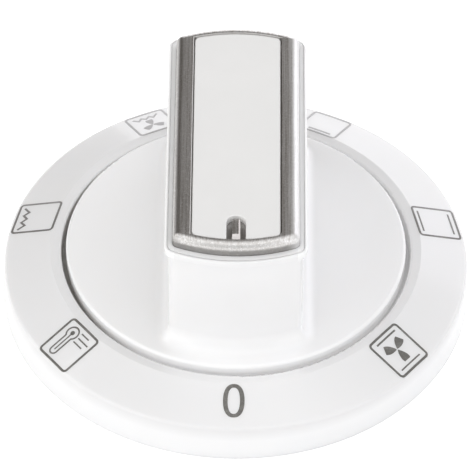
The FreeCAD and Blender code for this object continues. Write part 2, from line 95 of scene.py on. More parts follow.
def radiusNode(tree, spot):
    # distance from the turning axis: sqrt(x * x + y * y)
    squares = [mathNode(tree, "MULTIPLY", spot[axis], spot[axis]) for axis in ("X", "Y")]
    return mathNode(tree, "SQRT", mathNode(tree, "ADD", *squares))


def fadeNode(tree, value, low, high, outLow=0.0, outHigh=1.0, kind="SMOOTHSTEP"):
    # a soft step: outLow before low, outHigh past high
    values = {"Value": value, "From Min": low, "From Max": high, "To Min": outLow, "To Max": outHigh}
    return newNode(tree, "ShaderNodeMapRange", values, interpolation_type=kind).outputs["Result"]


def mixColour(tree, factor, first, second):
    # a Mix node has sockets for each kind of value, so its colour ones are found by type
    node = newNode(tree, "ShaderNodeMix", data_type="RGBA")
    colours = [socket for socket in node.inputs if socket.type == "RGBA"]
    for value, socket in zip((factor, first, second), (node.inputs[0], *colours)):
        feed(tree, value, socket)
    return next(socket for socket in node.outputs if socket.type == "RGBA")


def noiseNode(tree, place, look):
    return newNode(tree, "ShaderNodeTexNoise", {"Vector": place, **look}).outputs["Fac"]


def stretchNode(tree, place, **values):
    return newNode(tree, "ShaderNodeMapping", {"Vector": place, **values}).outputs["Vector"]


def startGroup(name, inputs, outputs):
    # every group reads its patterns at the input called Vector
    tree = bpy.data.node_groups.new(name, "ShaderNodeTree")
    tree.interface.new_socket("Vector", in_out="INPUT", socket_type="NodeSocketVector")
    for label, value in inputs.items():
        tree.interface.new_socket(label, in_out="INPUT", socket_type="NodeSocketFloat").default_value = value
    for label in outputs:
        tree.interface.new_socket(label, in_out="OUTPUT", socket_type="NodeSocketFloat")
    return tree, newNode(tree, "NodeGroupInput").outputs, newNode(tree, "NodeGroupOutput").inputs


def placeGroup(tree, group, place, **values):
    return newNode(tree, "ShaderNodeGroup", {"Vector": place, **values}, node_tree=group).outputs


mouldSkinLook = {
    "fine": {"Scale": 1400.0, "Detail": 3.0, "Roughness": 0.6},
    "wave": {"Scale": 160.0, "Detail": 1.0, "Roughness": 0.4},
    "cloud": {"Scale": 55.0, "Detail": 4.0, "Roughness": 0.55, "Distortion": 0.4},
    "rub": {"Scale": 240.0, "Detail": 5.0, "Roughness": 0.7},
    "rubFade": (0.42, 0.72),
}


def makeMouldSkin():
    # Height = fine * Ripple + wave, Tone = (cloud - half) * Drift, Matt = patches where the gloss is rubbed
    tree, entry, leave = startGroup("mouldSkin", {"Ripple": 0.3, "Drift": 0.5}, ("Height", "Tone", "Matt"))
    fine, wave, cloud, rub = [noiseNode(tree, entry["Vector"], mouldSkinLook[part])
                              for part in ("fine", "wave", "cloud", "rub")]
    rippled = mathNode(tree, "MULTIPLY", fine, entry["Ripple"])
    feed(tree, mathNode(tree, "ADD", rippled, wave), leave["Height"])
    swing = mathNode(tree, "SUBTRACT", cloud, 0.5)
    feed(tree, mathNode(tree, "MULTIPLY", swing, entry["Drift"]), leave["Tone"])
    feed(tree, fadeNode(tree, rub, *mouldSkinLook["rubFade"]), leave["Matt"])
    layOut(tree)
    return tree


hairlineLook = {
    "noise": {"Scale": 95.0, "Detail": 2.0, "Roughness": 0.5},
    "fade": (0.66, 0.72),
    "lays": ({"turn": 0.3, "stretch": 26.0, "shift": (0.0, 0.0, 0.0)},
             {"turn": 1.4, "stretch": 34.0, "shift": (3.1, 2.17, 0.0)},
             {"turn": 2.5, "stretch": 22.0, "shift": (7.7, 5.39, 0.0)}),
}


def makeHairlines():
    # Lines = thin handling scratches that run in three directions, Height = 1 - Lines
    tree, entry, leave = startGroup("hairlines", {"Density": 0.5}, ("Lines", "Height"))
    layers = []
    for lay in hairlineLook["lays"]:
        place = stretchNode(tree, entry["Vector"], Location=lay["shift"], Rotation=(0.0, 0.0, lay["turn"]),
                            Scale=(lay["stretch"], 1.0, 1.0))
        layers.append(fadeNode(tree, noiseNode(tree, place, hairlineLook["noise"]), *hairlineLook["fade"]))
    first, second, third = layers
    total = mathNode(tree, "MAXIMUM", mathNode(tree, "MAXIMUM", first, second), third)
    lines = mathNode(tree, "MULTIPLY", total, entry["Density"])
    feed(tree, lines, leave["Lines"])
    feed(tree, mathNode(tree, "SUBTRACT", 1.0, lines), leave["Height"])
    layOut(tree)
    return tree


gapShadingLook = {
    "noise": {"Scale": 900.0, "Detail": 5.0, "Roughness": 0.65},
    "patches": (0.3, 0.7, 0.55, 1.0),
    "darkestX": -0.0215, "lightestX": -0.010,
}


def makeGapShading():
    # first output: shade painted between the radii Inner and Outer and below Level, in patches; second: where
    # that painted shade is thin
    inputs = {"Inner": 0.02, "Outer": 0.022, "Level": 0.007, "Amount": 0.5, "Least": 0.1}
    tree, entry, leave = startGroup("gapShading", inputs, ("PaintedShade", "Gap"))
    spot = splitPlace(tree, entry["Vector"])
    radius = radiusNode(tree, spot)
    inside = productOf(tree, mathNode(tree, "GREATER_THAN", radius, entry["Inner"]),
                       mathNode(tree, "LESS_THAN", radius, entry["Outer"]),
                       mathNode(tree, "LESS_THAN", spot["Z"], entry["Level"]))
    patchy = fadeNode(tree, noiseNode(tree, entry["Vector"], gapShadingLook["noise"]), *gapShadingLook["patches"])
    # the painted shade is darkest, Amount, at the far left and fades to Least
    shadeStrength = fadeNode(tree, spot["X"], gapShadingLook["darkestX"], gapShadingLook["lightestX"],
                         entry["Amount"], entry["Least"])
    feed(tree, productOf(tree, inside, patchy, shadeStrength), leave["PaintedShade"])
    feed(tree, mathNode(tree, "MULTIPLY", inside, mathNode(tree, "SUBTRACT", 1.0, shadeStrength)), leave["Gap"])
    layOut(tree)
    return tree


mouldSkin = makeMouldSkin()
hairlines = makeHairlines()
gapShading = makeGapShading()
print("shared effects made:", len(bpy.data.node_groups))


def startMaterial(name):
    material = bpy.data.materials.new(name)
    material.use_nodes = True
    tree = material.node_tree
    tree.nodes.clear()
    shader = newNode(tree, "ShaderNodeBsdfPrincipled")
    newNode(tree, "ShaderNodeOutputMaterial", {"Surface": shader.outputs[0]})
    return material, tree, shader, newNode(tree, "ShaderNodeTexCoord").outputs["Object"]


def finishSurface(tree, shader, colour, rough, height, bump):
    bumpNode = newNode(tree, "ShaderNodeBump", {"Height": height, **bump})
    feedAll(tree, shader, {"Base Color": colour, "Roughness": rough, "Normal": bumpNode.outputs["Normal"]})
    layOut(tree)


# white gloss plastic of the ring and the knob; lengths are in metres
whitePlastic = {
    # per part: plastic tones, the colour and place of the shade painted in the gap by the disc's edge, and a
    # lighter colour painted on as light
    "ring": {"clean": (0.825, 0.822, 0.83, 1), "wornAndSheen": (0.80, 0.796, 0.79, 1), "gapShade": (0.48, 0.455, 0.42, 1),
             "gapShadeFrom": 0.0205, "gapShadeTo": 0.02242, "gapShadeLevel": 0.0068,
             "rough": 0.17, "roughRubbed": 0.24, "ripple": 0.25, "scratch": 0.12,
             "paintedLight": (0.935, 0.935, 0.94, 1), "paintedLightFrom": 0.0048, "paintedLightTo": 0.0030, "paintedLightSide": 0.0},
    "knob": {"clean": (0.93, 0.928, 0.935, 1), "wornAndSheen": (0.905, 0.9, 0.895, 1), "gapShade": (0.52, 0.495, 0.46, 1),
             "gapShadeFrom": 0.0199, "gapShadeTo": 0.02195, "gapShadeLevel": 0.0066,
             "rough": 0.18, "roughRubbed": 0.25, "ripple": 0.3, "scratch": 0.15,
             "paintedLight": (0.995, 0.995, 0.995, 1), "paintedLightFrom": 0.0235, "paintedLightTo": 0.0245, "paintedLightSide": 0.0076},
    "gapShadeAmount": 0.82, "gapShadeLeast": 0.08, "drift": 0.8, "toneMiddle": 0.35, "scratchDepth": 0.25,
    "noGleam": (0, 0, 0, 1), "gapGleam": 0.09,
    "bump": {"Strength": 0.12, "Distance": 0.00006},
    "shader": {"Coat Weight": 0.25, "Coat Roughness": 0.08, "IOR": 1.5, "Subsurface Weight": 0.3,
               "Subsurface Radius": (1.0, 0.95, 0.9), "Subsurface Scale": 0.0016, "Emission Strength": 1.0},
}


def makeWhitePlastic(name, look):
    material, tree, shader, place = startMaterial(name)
    skin = placeGroup(tree, mouldSkin, place, Ripple=look["ripple"], Drift=whitePlastic["drift"])
    marks = placeGroup(tree, hairlines, place, Density=look["scratch"])
    gapShade = placeGroup(tree, gapShading, place, Inner=look["gapShadeFrom"], Outer=look["gapShadeTo"],
                      Level=look["gapShadeLevel"], Amount=whitePlastic["gapShadeAmount"],
                      Least=whitePlastic["gapShadeLeast"])
    tone = mathNode(tree, "ADD", skin["Tone"], whitePlastic["toneMiddle"], clamp=True)
    colour = mixColour(tree, tone, look["clean"], look["wornAndSheen"])
    # the lower part of the ring's wall and the sides of the knob's collar are painted lighter, painted light
    # against the shade that falls there
    spot = splitPlace(tree, place)
    atHeight = fadeNode(tree, spot["Z"], look["paintedLightFrom"], look["paintedLightTo"], kind="LINEAR")
    beside = mathNode(tree, "GREATER_THAN", mathNode(tree, "ABSOLUTE", spot["X"]), look["paintedLightSide"])
    colour = mixColour(tree, mathNode(tree, "MULTIPLY", atHeight, beside), colour, look["paintedLight"])
    # painted shade in the gap between the knob's disc and the ring, darkest at the far left
    colour = mixColour(tree, gapShade["PaintedShade"], colour, look["gapShade"])
    # a faint painted glow lights the gap where its painted shade is thin
    gleam = mathNode(tree, "MULTIPLY", gapShade["Gap"], whitePlastic["gapGleam"])
    glow = mixColour(tree, gleam, whitePlastic["noGleam"], look["clean"])
    feed(tree, glow, shader.inputs["Emission Color"])
    rubbed = mathNode(tree, "MAXIMUM", skin["Matt"], marks["Lines"])
    rubbed = mathNode(tree, "MAXIMUM", rubbed, gapShade["PaintedShade"], clamp=True)
    rough = fadeNode(tree, rubbed, 0.0, 1.0, look["rough"], look["roughRubbed"])
    height = mathNode(tree, "ADD", skin["Height"],
                      mathNode(tree, "MULTIPLY", marks["Height"], whitePlastic["scratchDepth"]))
    feedAll(tree, shader, whitePlastic["shader"])
    finishSurface(tree, shader, colour, rough, height, whitePlastic["bump"])
    return material


# plated trim: brushed along the grip, speckled, with fine metal flakes, and painted highlights and painted
# shade
silverTrim = {
    "base": (0.83, 0.828, 0.825, 1), "dark": (0.345, 0.312, 0.278, 1), "rough": 0.30, "roughDull": 0.37,
    "brushStretch": (5200.0, 70.0, 3000.0), "brush": {"Scale": 1.0, "Detail": 4.0, "Roughness": 0.65},
    "brushFade": (0.3, 0.7), "brushShade": 0.62, "brushDepth": 0.5,
    "polish": (-0.0190, -0.0180, 0.3, 1.0),
    "speck": {"Scale": 2400.0, "Detail": 5.0, "Roughness": 0.7}, "speckFade": (0.32, 0.68), "speckShade": 0.2,
    "flakes": {"Scale": 9000.0, "Randomness": 1.0}, "flake": (0.95, 0.945, 0.94, 1),
    "sparkle": (0.72, 0.98, 0.0, 0.5), "flakeDepth": 0.5,
    # a pale painted highlight on the frame's inner edge
    "edge": {"side": -0.00565, "back": 0.01858, "reach": 0.00005, "end": 0.01864, "half": 0.00571,
             "colour": (0.90, 0.89, 0.88, 1), "dull": 0.3},
    # painted shade: a darker colour along the foot of the rounding and on the left rail's outer edge
    "trimShade": {"foot": (0.0262, 0.0267, 1.0, 0.0), "left": (-0.0067, -0.0072, 0.0, 0.55),
             "patches": (0.2, 0.6, 0.75, 1.0), "colour": (0.35, 0.34, 0.33, 1)},
    # painted highlight: a lighter, less metallic colour towards the right rail's outer edge
    "wornAndSheen": {"right": (0.0061, 0.0077, 0.0, 0.52), "colour": (0.86, 0.86, 0.87, 1)},
    # pointer: a pale painted highlight on its sloping end and along the right of its top
    "pointer": {"half": 0.00052, "front": -0.0171, "end": -0.01853, "line": 0.00031, "back": -0.0142,
                "low": 0.0255, "paint": (0.84, 0.80, 0.79, 1)},
    "scratch": 0.2, "bump": {"Strength": 0.22, "Distance": 0.00002},
}


def edgeHighlightMask(tree, spot):
    # 1 on the frame's inner edge, along the left rail and round the back, where a pale highlight is painted
    edge = silverTrim["edge"]
    radius = radiusNode(tree, spot)
    left = nearNode(tree, spot["X"], edge["side"], edge["reach"])
    back = mathNode(tree, "MULTIPLY", nearNode(tree, radius, edge["back"], edge["reach"]),
                    mathNode(tree, "GREATER_THAN", spot["Y"], 0.0))
    return productOf(tree, mathNode(tree, "MAXIMUM", left, back),
                     mathNode(tree, "LESS_THAN", radius, edge["end"]),
                     nearNode(tree, spot["X"], 0.0, edge["half"]))


def pointerHighlightMask(tree, spot):
    # 1 on the pointer's sloping end, and on a stroke along the right of its top, where a pale highlight is
    # painted
    pointer = silverTrim["pointer"]
    slope = mathNode(tree, "LESS_THAN", spot["Y"], pointer["front"])
    stroke = mathNode(tree, "MULTIPLY", mathNode(tree, "GREATER_THAN", spot["X"], pointer["line"]),
                      mathNode(tree, "LESS_THAN", spot["Y"], pointer["back"]))
    return productOf(tree, mathNode(tree, "MAXIMUM", slope, stroke),
                     nearNode(tree, spot["X"], 0.0, pointer["half"]),
                     mathNode(tree, "GREATER_THAN", spot["Y"], pointer["end"]),
                     mathNode(tree, "GREATER_THAN", spot["Z"], pointer["low"]))


def makeSilver():
    material, tree, shader, place = startMaterial("satinSilver")
    spot = splitPlace(tree, place)
    brush = noiseNode(tree, stretchNode(tree, place, Scale=silverTrim["brushStretch"]), silverTrim["brush"])
    speck = noiseNode(tree, place, silverTrim["speck"])
    flakes = newNode(tree, "ShaderNodeTexVoronoi", {"Vector": place, **silverTrim["flakes"]}).outputs["Color"]
    flakeTone = newNode(tree, "ShaderNodeSeparateColor", {"Color": flakes}).outputs
    marks = placeGroup(tree, hairlines, place, Density=silverTrim["scratch"])
    # the front rail is polished, so the brushing fades there to its middle tone: 0.5 + (brush - 0.5) * polish
    polish = fadeNode(tree, spot["Y"], *silverTrim["polish"])
    brushed = mathNode(tree, "SUBTRACT", fadeNode(tree, brush, *silverTrim["brushFade"]), 0.5)
    brushed = mathNode(tree, "ADD", mathNode(tree, "MULTIPLY", brushed, polish), 0.5)
    specks = fadeNode(tree, speck, *silverTrim["speckFade"])
    darkness = mathNode(tree, "ADD", mathNode(tree, "MULTIPLY", brushed, silverTrim["brushShade"]),
                        mathNode(tree, "MULTIPLY", specks, silverTrim["speckShade"]))
    colour = mixColour(tree, darkness, silverTrim["base"], silverTrim["dark"])
    sparkle = fadeNode(tree, flakeTone["Red"], *silverTrim["sparkle"])
    colour = mixColour(tree, sparkle, colour, silverTrim["flake"])
    # the pale painted highlight on the inner edge
    edge = edgeHighlightMask(tree, spot)
    colour = mixColour(tree, edge, colour, silverTrim["edge"]["colour"])
    # painted shade along the foot of the rounding and on the left, in patches
    trimShading = mathNode(tree, "MAXIMUM", fadeNode(tree, spot["Z"], *silverTrim["trimShade"]["foot"]),
                     fadeNode(tree, spot["X"], *silverTrim["trimShade"]["left"], kind="LINEAR"))
    trimShading = mathNode(tree, "MULTIPLY", trimShading, fadeNode(tree, speck, *silverTrim["trimShade"]["patches"]))
    colour = mixColour(tree, trimShading, colour, silverTrim["trimShade"]["colour"])
    # towards the right rail's outer edge a lighter, less metallic colour is painted as a highlight; the
    # pointer gets a pale painted highlight; neither place is metal
    wornAndSheen = fadeNode(tree, spot["X"], *silverTrim["wornAndSheen"]["right"])
    pointerHighlight = pointerHighlightMask(tree, spot)
    colour = mixColour(tree, wornAndSheen, colour, silverTrim["wornAndSheen"]["colour"])
    colour = mixColour(tree, pointerHighlight, colour, silverTrim["pointer"]["paint"])
    nonMetal = mathNode(tree, "MAXIMUM", pointerHighlight, wornAndSheen)
    feed(tree, mathNode(tree, "SUBTRACT", 1.0, nonMetal), shader.inputs["Metallic"])
    rough = fadeNode(tree, mathNode(tree, "MAXIMUM", specks, marks["Lines"]), 0.0, 1.0,
                     silverTrim["rough"], silverTrim["roughDull"])
    rough = mathNode(tree, "ADD", rough, mathNode(tree, "MULTIPLY", edge, silverTrim["edge"]["dull"]))
    height = mathNode(tree, "ADD", mathNode(tree, "MULTIPLY", brushed, silverTrim["brushDepth"]),
                      mathNode(tree, "MULTIPLY", flakeTone["Green"], silverTrim["flakeDepth"]))
    finishSurface(tree, shader, colour, rough, height, silverTrim["bump"])
    return material


# pale grey cover plate: matt, finely textured
coverPlate = {
    "base": (0.845, 0.84, 0.83, 1), "shade": (0.80, 0.80, 0.79, 1), "toneMiddle": 0.4,
    "rough": 0.42, "roughDull": 0.6, "ripple": 1.0, "drift": 1.2, "scratch": 0.3,
    "bump": {"Strength": 0.2, "Distance": 0.00005},
}


def makeCoverPlate():
    material, tree, shader, place = startMaterial("paleGreyPlate")
    skin = placeGroup(tree, mouldSkin, place, Ripple=coverPlate["ripple"], Drift=coverPlate["drift"])
    marks = placeGroup(tree, hairlines, place, Density=coverPlate["scratch"])
    tone = mathNode(tree, "ADD", skin["Tone"], coverPlate["toneMiddle"], clamp=True)
    colour = mixColour(tree, tone, coverPlate["base"], coverPlate["shade"])
    dull = mathNode(tree, "MAXIMUM", skin["Matt"], marks["Lines"])
    rough = fadeNode(tree, dull, 0.0, 1.0, coverPlate["rough"], coverPlate["roughDull"])
    finishSurface(tree, shader, colour, rough, skin["Height"], coverPlate["bump"])
    return material


# spring steel band round the hub, with the lines of its rolling
springSteel = {
    "base": (0.56, 0.56, 0.57, 1), "dark": (0.36, 0.35, 0.35, 1), "rough": 0.24, "roughDull": 0.4,
    "rollStretch": (350.0, 350.0, 5200.0), "roll": {"Scale": 1.0, "Detail": 4.0, "Roughness": 0.6},
    "rollFade": (0.35, 0.7), "scratch": 0.6, "metallic": 1.0,
    "bump": {"Strength": 0.2, "Distance": 0.00002},
}


def makeSpringSteel():
    material, tree, shader, place = startMaterial("springSteel")
    rolled = noiseNode(tree, stretchNode(tree, place, Scale=springSteel["rollStretch"]), springSteel["roll"])
    lines = fadeNode(tree, rolled, *springSteel["rollFade"])
    marks = placeGroup(tree, hairlines, place, Density=springSteel["scratch"])
    colour = mixColour(tree, lines, springSteel["base"], springSteel["dark"])
    dull = mathNode(tree, "MAXIMUM", lines, marks["Lines"])
    rough = fadeNode(tree, dull, 0.0, 1.0, springSteel["rough"], springSteel["roughDull"])
    feed(tree, springSteel["metallic"], shader.inputs["Metallic"])
    finishSurface(tree, shader, colour, rough, lines, springSteel["bump"])
    return material


finishes = {
    "dial_ring": makeWhitePlastic("whiteRingPlastic", whitePlastic["ring"]),
    "knob_body": makeWhitePlastic("whiteKnobPlastic", whitePlastic["knob"]),
    "grip_trim": makeSilver(),
    "top_insert": makeCoverPlate(),
    "hub_spring": makeSpringSteel(),
}
for nodeName, finish in finishes.items():
    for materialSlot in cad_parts[nodeName].material_slots:
        materialSlot.material = finish
print("finishes given to", len(finishes), "parts")


# signs: thin films of dark grey ink on the ring's slope; lengths are in millimetres
ringTop = {"height": 7.2, "slopeStart": 23.8, "slope": 2.2 / 5.9}
signRing = {"radius": 26.54, "zeroAngle": -90.3, "step": 360 / 7}
inkFilm = {"across": (0.0, 0.0, 0.05, 0.35, 0.65, 0.95, 1.0, 1.0),
           "rise": (-0.02, 0.015, 0.03, 0.03, 0.03, 0.03, 0.015, -0.02), "step": 0.3}


def ringHeight(radius):
    # flat top, then height = top - slope * (radius - start)
    return ringTop["height"] - ringTop["slope"] * np.clip(radius - ringTop["slopeStart"], 0, None)


def signToRing(points, position):
    # sign plane (x to the reader's right, y outwards) turned to its place on the dial and laid on the slope
    angle = np.radians(signRing["zeroAngle"] + position * signRing["step"])
    outward = np.array([np.cos(angle), np.sin(angle)])
    sideways = np.array([np.sin(angle), -np.cos(angle)])
    plan = (signRing["radius"] + points[..., 1:2]) * outward + points[..., 0:1] * sideways
    height = ringHeight(np.hypot(plan[..., 0], plan[..., 1]))
    return np.concatenate([plan, height[..., None]], axis=-1)


def inkBand(nearEdge, farEdge, position, closed):
    # film between two edge lines: point(i, t) = near(i) * (1 - t) + far(i) * t, raised by the film's profile
    across = np.array(inkFilm["across"])[None, :, None]
    points = signToRing(nearEdge[:, None, :] * (1 - across) + farEdge[:, None, :] * across, position)
    points[..., 2] += inkFilm["rise"]
    count, lanes = points.shape[:2]
    lane = np.arange(lanes)
    rows = np.arange(count if closed else count - 1)[:, None]
    here, following = rows * lanes, (rows + 1) % count * lanes
    faces = np.stack([here + lane, following + lane, following + (lane + 1) % lanes,
                      here + (lane + 1) % lanes], axis=-1).reshape(-1, 4).tolist()
    if not closed:
        faces += [lane.tolist(), ((count - 1) * lanes + lane)[::-1].tolist()]
    return points.reshape(-1, 3), faces


def unitRows(rows):
    # each row divided by its length
    return rows / np.linalg.norm(rows, axis=1, keepdims=True)


def pathEdges(path, width, closed):
    # edges at half the stroke width each side, mitred: offset = half * normal / cos(half the bend)
    before = np.roll(path, 1, axis=0)
    after = np.roll(path, -1, axis=0)
    if not closed:
        before[0] = 2 * path[0] - path[1]
        after[-1] = 2 * path[-1] - path[-2]
    into, out = unitRows(path - before), unitRows(after - path)
    normal = unitRows(np.stack([-(into + out)[:, 1], (into + out)[:, 0]], axis=1))
    straight = np.stack([-into[:, 1], into[:, 0]], axis=1)
    offset = normal / np.sum(normal * straight, axis=1, keepdims=True) * width / 2
    return path - offset, path + offset


def subdivide(path, closed):
    # extra points at even steps, so that a long stroke follows the slope
    starts = path if closed else path[:-1]
    ends = np.roll(path, -1, axis=0) if closed else path[1:]
    pieces = []
    for start, end in zip(starts, ends):
        count = max(2, int(np.ceil(np.linalg.norm(end - start) / inkFilm["step"])) + 1)
        pieces.append(start + (end - start) * np.linspace(0, 1, count)[:-1, None])
    return np.concatenate(pieces if closed else pieces + [path[-1:]])


def circlePoints(turns, radius, centre):
    # centre + radius * (cos turn, sin turn)
    return np.stack([np.cos(turns), np.sin(turns)], axis=1) * radius + np.array(centre)


def strokeInk(path, width, position, closed=False):
    # band along the corners of a path, half its width to each side
    near, far = pathEdges(subdivide(np.array(path, float), closed), width, closed)
    return inkBand(near, far, position, closed)


def barInk(level, left, right, width, position):
    # straight stroke from (left, level) to (right, level)
    return strokeInk([(left, level), (right, level)], width, position)


signFrame = {"width": 5.22, "height": 5.42, "corner": 0.42, "cornerPoints": 7, "stroke": 0.29}


def frameInk(centre, position):
    # rectangle with corner arcs: centre of the arc + corner * (cos a, sin a)
    turns = np.radians(np.linspace(0, 90, signFrame["cornerPoints"]))
    reach = np.array([signFrame["width"], signFrame["height"]]) / 2 - signFrame["corner"]
    corners = ((1, 1), (-1, 1), (-1, -1), (1, -1))
    arcs = [circlePoints(turns + quarter * np.pi / 2, signFrame["corner"], reach * corner + np.array(centre))
            for quarter, corner in enumerate(corners)]
    return strokeInk(np.concatenate(arcs), signFrame["stroke"], position, closed=True)


fanBlade = {"root": 0.10, "tip": 1.70, "half": 0.545, "swell": 1.22, "power": 0.874, "narrowFrom": 0.8,
            "narrowBy": 0.10, "least": 0.03, "points": 25, "headings": (90, 210, 330)}


def fanInk(centre, size, position):
    # blade: half width = half * sin(swell * along)^power, a little narrower towards the nearly square tip
    along = np.linspace(0, 1, fanBlade["points"])
    swelling = np.sin(np.clip(along * fanBlade["swell"], 0, 1) * np.pi / 2)
    half = fanBlade["half"] * swelling ** fanBlade["power"]
    nearTip = np.clip((along - fanBlade["narrowFrom"]) / (1 - fanBlade["narrowFrom"]), 0, 1)
    half = (half * (1 - fanBlade["narrowBy"] * nearTip ** 2) + fanBlade["least"])[:, None]
    middle = (fanBlade["root"] + (fanBlade["tip"] - fanBlade["root"]) * along)[:, None]
    inks = []
    for turn in np.radians(fanBlade["headings"]):
        ahead = np.array([np.cos(turn), np.sin(turn)])
        aside = np.array([-np.sin(turn), np.cos(turn)])
        edges = [(middle * ahead + side * half * aside) * size + np.array(centre) for side in (-1, 1)]
        inks.append(inkBand(*edges, position, closed=False))
    return inks


zigzag = {"corners": ((-2.10, 2.03), (-1.38, 1.24), (-0.77, 1.87), (-0.17, 1.26), (0.50, 1.86), (1.06, 1.26),
                      (1.89, 2.05)), "stroke": 0.27}


def zigzagInk(shift, size, position):
    # stroke through corner * size + shift
    return strokeInk(np.array(zigzag["corners"]) * size + np.array(shift), zigzag["stroke"], position)


zeroDigit = {"centre": (-0.05, -0.52), "outer": (1.345, 2.10), "inner": (0.765, 1.66), "power": 0.86,
             "points": 72}


def zeroInk(position):
    # superellipse band: (a * |cos|^p, b * |sin|^p), p a little under 1 for flatter sides
    unit = circlePoints(np.linspace(0, 2 * np.pi, zeroDigit["points"], endpoint=False), 1, (0, 0))
    unit = np.sign(unit) * np.abs(unit) ** zeroDigit["power"]
    outer, inner = [unit * np.array(zeroDigit[edge]) + np.array(zeroDigit["centre"])
                    for edge in ("outer", "inner")]
    return [inkBand(outer, inner, position, closed=True)]


thermometer = {
    "bulbCentre": (0.95, -1.19), "bulb": 0.83, "half": 0.50, "top": 1.78, "outline": 0.20,
    "bulbPoints": 34, "capPoints": 15, "column": 0.17, "columnTop": 1.68,
    "dot": 0.30, "dotPoints": 21, "dotOpen": 0.02,
    "marks": ((-0.55, -1.68, -0.10), (-1.22, -2.10, -0.22), (-1.89, -1.50, -0.10)), "mark": 0.17,
}


def thermometerInk(position):
    # outline = the bulb's arc, open for the tube + half circle at the top; dot between two half circles
    cx, cy = thermometer["bulbCentre"]
    opening = np.arcsin(thermometer["half"] / thermometer["bulb"])
    around = np.linspace(np.pi / 2 + opening, 2.5 * np.pi - opening, thermometer["bulbPoints"])
    cap = np.linspace(0, np.pi, thermometer["capPoints"])
    outline = np.concatenate([circlePoints(around, thermometer["bulb"], (cx, cy)),
                              circlePoints(cap, thermometer["half"], (cx, thermometer["top"]))])
    dotOpen = thermometer["dotOpen"]
    dotTurn = np.pi - np.linspace(dotOpen, np.pi - dotOpen, thermometer["dotPoints"])
    lower, upper = [circlePoints(side * dotTurn, thermometer["dot"], (cx, cy)) for side in (-1, 1)]
    return [strokeInk(outline, thermometer["outline"], position, closed=True),
            strokeInk([(cx, cy), (cx, thermometer["columnTop"])], thermometer["column"], position),
            inkBand(lower, upper, position, closed=False),
            *[barInk(*mark, thermometer["mark"], position) for mark in thermometer["marks"]]]


# position counts the signs from the zero, frame is the frame's centre, a bar is its level, left, right
# and stroke, zigzag and fan are a place and a size
signs = {
    "sign_zero": {"position": 0, "drawing": zeroInk},
    "sign_fan_oven": {"position": 1, "frame": (0.23, 0.11),
                      "bars": ((2.14, -1.50, 2.14, 0.18), (-1.97, -1.61, 2.00, 0.22)),
                      "fan": ((0.27, -0.07), 1.0)},
    "sign_top_and_bottom_heat": {"position": 2, "frame": (0.0, -0.03),
                                 "bars": ((1.96, -1.82, 1.82, 0.22), (-2.13, -1.82, 1.86, 0.22))},
    "sign_bottom_heat": {"position": 3, "frame": (0.0, -0.06), "bars": ((-2.10, -1.4, 1.7, 0.34),)},
    "sign_fan_grill": {"position": -3, "frame": (0.0, -0.05), "zigzag": ((0.0, 0.1), 0.86),
                       "fan": ((-0.03, -0.72), 0.86)},
    "sign_grill": {"position": -2, "frame": (-0.02, -0.03), "zigzag": ((0.0, 0.0), 1.0)},
    "sign_temperature": {"position": -1, "frame": (-0.04, 0.11), "drawing": thermometerInk},
}


def signInks(sign):
    position = sign["position"]
    inks = [frameInk(sign["frame"], position)] if "frame" in sign else []
    inks += [barInk(*bar, position) for bar in sign.get("bars", ())]
    if "zigzag" in sign:
        inks.append(zigzagInk(*sign["zigzag"], position))
    if "fan" in sign:
        inks += fanInk(*sign["fan"], position)
    if "drawing" in sign:
        inks += sign["drawing"](position)
    return inks


def buildSign(name, inks, finish):
    # all films of a sign in one mesh, where each film's corners are counted on from the film before
    points = np.concatenate([film for film, _ in inks]) * mm
    starts = np.cumsum([0] + [len(film) for film, _ in inks[:-1]])
    faces = [[corner + int(start) for corner in face]
             for start, (_, filmFaces) in zip(starts, inks) for face in filmFaces]
    mesh = bpy.data.meshes.new(name)
    mesh.from_pydata(points.tolist(), [], faces)
    mesh.update()
    mesh.materials.append(finish)
    sign = bpy.data.objects.new(name, mesh)
    bpy.context.scene.collection.objects.link(sign)
    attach(sign, "ring")


# pad-printed ink: dense in the middle, thin in small pores; painted paler from front to back of the dial as a
# painted sheen, in metres
signInk = {
    "base": (0.125, 0.120, 0.110, 1), "thin": (0.30, 0.295, 0.28, 1), "rough": 0.38, "roughDull": 0.55,
    "pores": {"Scale": 5200.0, "Detail": 4.0, "Roughness": 0.7}, "poreFade": (0.5, 0.8, 0.0, 0.6),
    "cloud": {"Scale": 800.0, "Detail": 3.0, "Roughness": 0.6}, "cloudFade": (0.45, 0.75, 0.0, 0.4),
    "paintedSheen": (0.50, 0.49, 0.50, 1), "paintedSheenFade": (0.001, 0.026, 0.0, 0.95),
    "bump": {"Strength": 0.3, "Distance": 0.00001},
}


def makeSignInk():
    material, tree, shader, place = startMaterial("darkGreyInk")
    pores = noiseNode(tree, place, signInk["pores"])
    thin = fadeNode(tree, pores, *signInk["poreFade"])
    wornAndSheen = fadeNode(tree, noiseNode(tree, place, signInk["cloud"]), *signInk["cloudFade"])
    amount = mathNode(tree, "ADD", thin, wornAndSheen, clamp=True)
    # the signs are painted paler towards the back of the dial, a painted sheen
    backSheen = fadeNode(tree, splitPlace(tree, place)["Y"], *signInk["paintedSheenFade"], kind="LINEAR")
    colour = mixColour(tree, amount, signInk["base"], signInk["thin"])
    colour = mixColour(tree, backSheen, colour, signInk["paintedSheen"])
    rough = fadeNode(tree, amount, 0.0, 1.0, signInk["rough"], signInk["roughDull"])
    finishSurface(tree, shader, colour, rough, pores, signInk["bump"])
    return material


inkFinish = makeSignInk()
for signName, sign in signs.items():
    buildSign(signName, signInks(sign), inkFinish)
print("signs printed:", len(signs))


